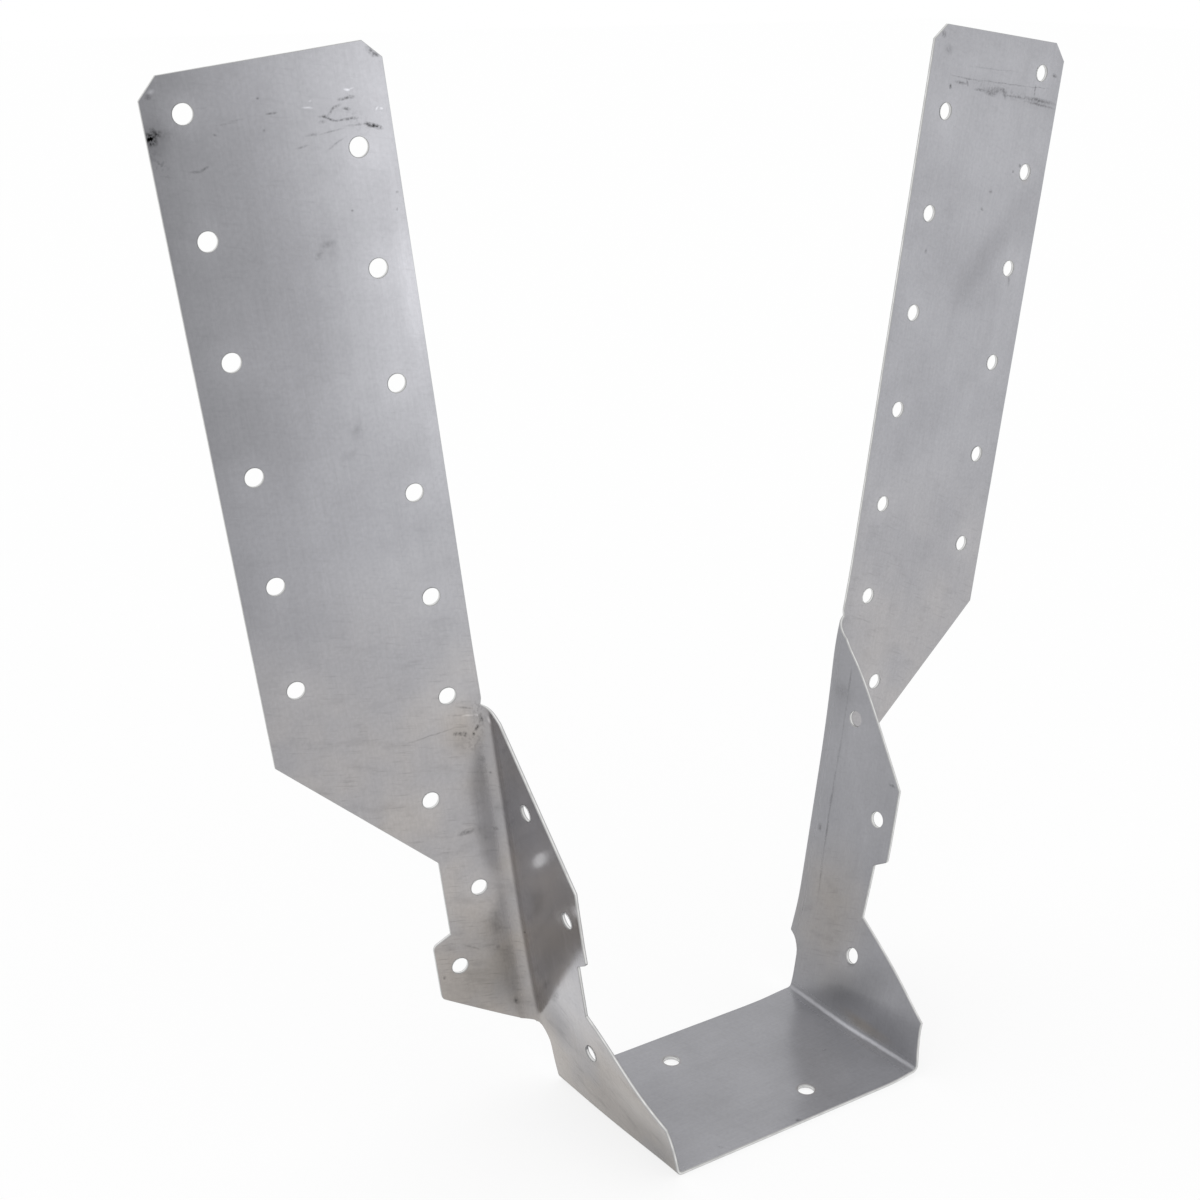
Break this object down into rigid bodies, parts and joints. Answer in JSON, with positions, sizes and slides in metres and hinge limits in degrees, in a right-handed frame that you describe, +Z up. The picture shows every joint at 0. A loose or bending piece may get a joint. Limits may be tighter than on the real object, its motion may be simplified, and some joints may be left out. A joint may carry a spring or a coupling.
{
  "type": "joist hanger",
  "caption": "Long-leg hanger folded from one steel sheet: a seat and two notched cheeks carry a joist end, and two long perforated straps are nailed to the header.",
  "frame": {"origin": "middle of the seat's upper face", "axes": "+Z up along the joist's height, +Y towards the header, +X to the right for someone facing the header"},
  "size_m": [0.2993, 0.0739, 0.3035],
  "materials": {
    "steel_sheet": "mill-finish stainless sheet, satin, with handling scuffs and light stains"
  },
  "bodies": {
    "root": {"hanger_body": "steel_sheet"}
  },
  "joints": []
}
